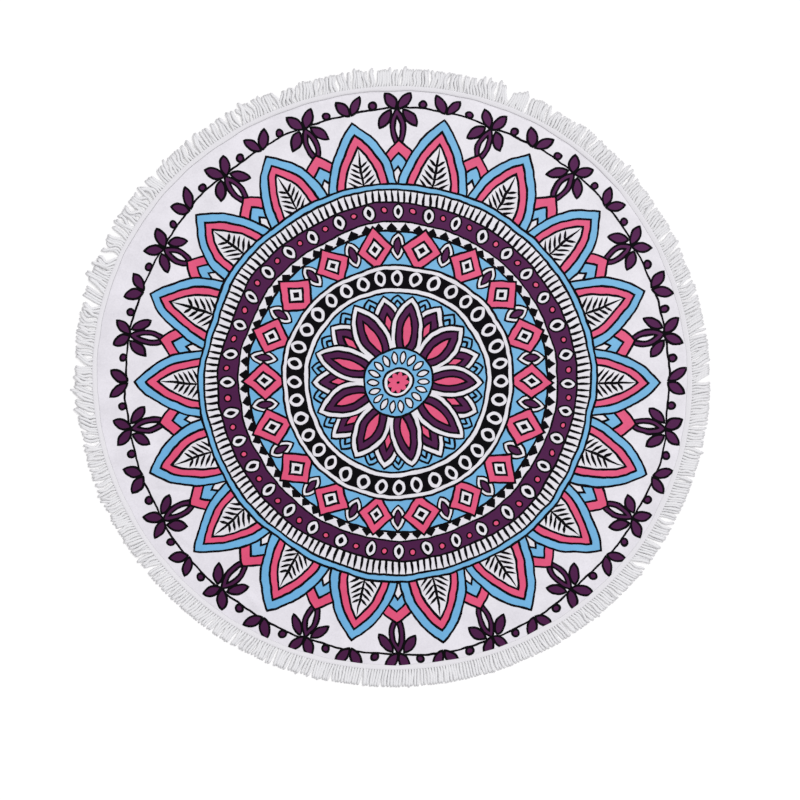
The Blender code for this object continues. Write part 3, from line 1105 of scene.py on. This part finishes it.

# %% [markdown]
# ## The cords
#
# Soft-spun cotton twisted in two plies. Along the UV map, lines that run round as they go along
# are the grooves between plies: half a turn of the cord brings the next groove. Fine noise,
# stretched along the cord, is the fibre. The grooves are painted darker too, as painted shade.

# %% Finish the cords
PLIES = 2
TWISTS = 3.4  # of each ply in a cord's length, a turn each 12 mm
FIBRES_ROUND, FIBRES_ALONG = 14.0, 40.0
FIBRE_SHARE = 0.3  # how much the fibre adds to the form of the plies
PLY_RELIEF = 0.5 * MM
TIP_BEGINS, TIP_PAINTED_SHADE = 0.84, 0.76  # painted shade: the last share of each cord, at its rounded tip, is painted darker

cotton, tree, shader = new_material(
    "soft twisted cotton cord",
    {"Roughness": 0.9, "Specular IOR Level": 0.12, "Sheen Weight": 0.10, "Sheen Roughness": 0.6},
)
along_cord = add_node(tree, "ShaderNodeUVMap", {}, uv_map="round_and_along").outputs[0]
twisted = {0: along_cord, 1: (PLIES, PLIES * TWISTS, 0)}
plied = add_node(tree, "ShaderNodeVectorMath", twisted, operation="DOT_PRODUCT").outputs["Value"]
halved = add_node(tree, "ShaderNodeMath", {0: plied, 1: pi}, operation="MULTIPLY")
wave = add_node(tree, "ShaderNodeMath", {0: halved.outputs[0]}, operation="SINE")
ply = add_node(tree, "ShaderNodeMath", {0: wave.outputs[0]}, operation="ABSOLUTE").outputs[0]
stretched = {"Vector": along_cord, "Scale": (FIBRES_ROUND, FIBRES_ALONG, 1.0)}
fibre_map = add_node(tree, "ShaderNodeMapping", stretched).outputs[0]
fibre = add_node(tree, "ShaderNodeTexNoise", {"Vector": fibre_map, "Scale": 1.0, "Detail": 2.0})
yarn = {0: fibre.outputs["Fac"], 1: FIBRE_SHARE, 2: ply}
form = add_node(tree, "ShaderNodeMath", yarn, operation="MULTIPLY_ADD").outputs[0]
# Painted shade: the grooves between plies are painted darker; the fibre noise varies the yarn's tone.
whites = {MIX_FACTOR: form, MIX_BELOW: linear("#D8D8DB"), MIX_ABOVE: linear("#E0DFE2")}
shade = add_node(tree, "ShaderNodeMix", whites, data_type="RGBA", clamp_factor=True)
along = add_node(tree, "ShaderNodeSeparateXYZ", {"Vector": along_cord}).outputs["Y"]
# Painted shade: each cord is painted darker over its last share, at its rounded tip.
tip_range = {"Value": along, "From Min": TIP_BEGINS, "To Min": 1.0, "To Max": TIP_PAINTED_SHADE}
painted_tip_shade = add_node(tree, "ShaderNodeMapRange", tip_range).outputs[0]
darkened = {0: shade.outputs[MIX_RESULT], "Scale": painted_tip_shade}
toned = add_node(tree, "ShaderNodeVectorMath", darkened, operation="SCALE")
raised = add_node(tree, "ShaderNodeBump", {"Height": form, "Distance": PLY_RELIEF, "Strength": 0.3})
tree.links.new(toned.outputs[0], shader.inputs["Base Color"])
tree.links.new(raised.outputs[0], shader.inputs["Normal"])
cords.data.materials.append(cotton)
print("a ply turns each", round(CORD_LENGTH / TWISTS * 1000, 1), "mm")

# %% [markdown]
# ## The tape and the thread
#
# The tape is a plain weave, its threads 0.6 mm apart: two wave patterns at right angles, drawn at
# 1.2 mm so that they show. The sewing thread is mercerised cotton, smoother and a little brighter.

# %% Finish the tape and the thread
THREAD_PITCH, THREAD_RELIEF = 1.2 * MM, 0.2 * MM
WAVE_SPACING = tau / 20  # between two bands of a Wave node, at a scale of 1

WOVEN = {"Roughness": 0.9, "Specular IOR Level": 0.12}
tape_weave, tree, shader = new_material("plain-woven cotton tape", WOVEN)
surface = add_node(tree, "ShaderNodeTexCoord", {}).outputs["Object"]
weave = {
    "Vector": surface,
    "Scale": WAVE_SPACING / THREAD_PITCH,
    "Distortion": 0.6,
    "Detail Scale": 60.0,
}
warp = add_node(tree, "ShaderNodeTexWave", weave, bands_direction="X")
weft = add_node(tree, "ShaderNodeTexWave", weave, bands_direction="Y")
crossing = {0: warp.outputs["Fac"], 1: weft.outputs["Fac"]}
woven = add_node(tree, "ShaderNodeMath", crossing, operation="MULTIPLY").outputs[0]
whites = {MIX_FACTOR: woven, MIX_BELOW: linear("#D8D6DB"), MIX_ABOVE: linear("#E6E4E8")}
shade = add_node(tree, "ShaderNodeMix", whites, data_type="RGBA")
raised = add_node(tree, "ShaderNodeBump", {"Height": woven, "Distance": THREAD_RELIEF, "Strength": 0.6})
tree.links.new(shade.outputs[MIX_RESULT], shader.inputs["Base Color"])
tree.links.new(raised.outputs[0], shader.inputs["Normal"])
tape.data.materials.append(tape_weave)

SMOOTH = {"Roughness": 0.6, "Specular IOR Level": 0.3}
thread, tree, shader = new_material("mercerised sewing thread", SMOOTH)
surface = add_node(tree, "ShaderNodeTexCoord", {}).outputs["Object"]
lint = add_node(tree, "ShaderNodeTexNoise", {"Vector": surface, "Scale": 1 / THREAD_PITCH})
whites = {MIX_FACTOR: lint.outputs["Fac"], MIX_BELOW: linear("#DAD8DD"), MIX_ABOVE: linear("#E6E4E8")}
shade = add_node(tree, "ShaderNodeMix", whites, data_type="RGBA")
tree.links.new(shade.outputs[MIX_RESULT], shader.inputs["Base Color"])
stitches.data.materials.append(thread)
print("tape and thread finished")

# %% [markdown]
# ## The floor
#
# A roll of white studio paper: one level face, far larger than the view, just under the towel.

# %% Lay the paper floor
FLOOR_SIZE = 12.0
FLOOR_DROP = 0.0002
PAPER_TOOTH = 2.0 * MM

floor_mesh = bmesh.new()
bmesh.ops.create_grid(floor_mesh, x_segments=1, y_segments=1, size=FLOOR_SIZE / 2)
bmesh.ops.translate(floor_mesh, verts=floor_mesh.verts[:], vec=(0, 0, -FLOOR_DROP))
floor = finished("paper_floor", floor_mesh)
paper, tree, shader = new_material("white studio paper", {"Roughness": 0.9, "Specular IOR Level": 0.1})
surface = add_node(tree, "ShaderNodeTexCoord", {}).outputs["Object"]
tooth = add_node(tree, "ShaderNodeTexNoise", {"Vector": surface, "Scale": 1 / PAPER_TOOTH})
whites = {MIX_FACTOR: tooth.outputs["Fac"], MIX_BELOW: linear("#F8F7F8"), MIX_ABOVE: linear("#FCFBFC")}
shade = add_node(tree, "ShaderNodeMix", whites, data_type="RGBA")
tree.links.new(shade.outputs[MIX_RESULT], shader.inputs["Base Color"])
floor.data.materials.append(paper)

# %% [markdown]
# ## Handing over
#
# Every piece rides on the model's one body, and the imported node that it stands for is hidden.
# A row also gives the name of a finish slot.

# %% Say what each piece stands for
StandsFor = namedtuple("StandsFor", "piece node slot")
for row in (
    StandsFor(cloth, "towel", "printed_velour"),
    StandsFor(tape, "fringe", "cotton_fringe"),
    StandsFor(stitches, "fringe", "cotton_fringe"),
    StandsFor(cords, "fringe", "cotton_fringe"),
):
    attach(row.piece, "root")
    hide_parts(row.node)
    print(row.piece.name, "stands for", row.node)
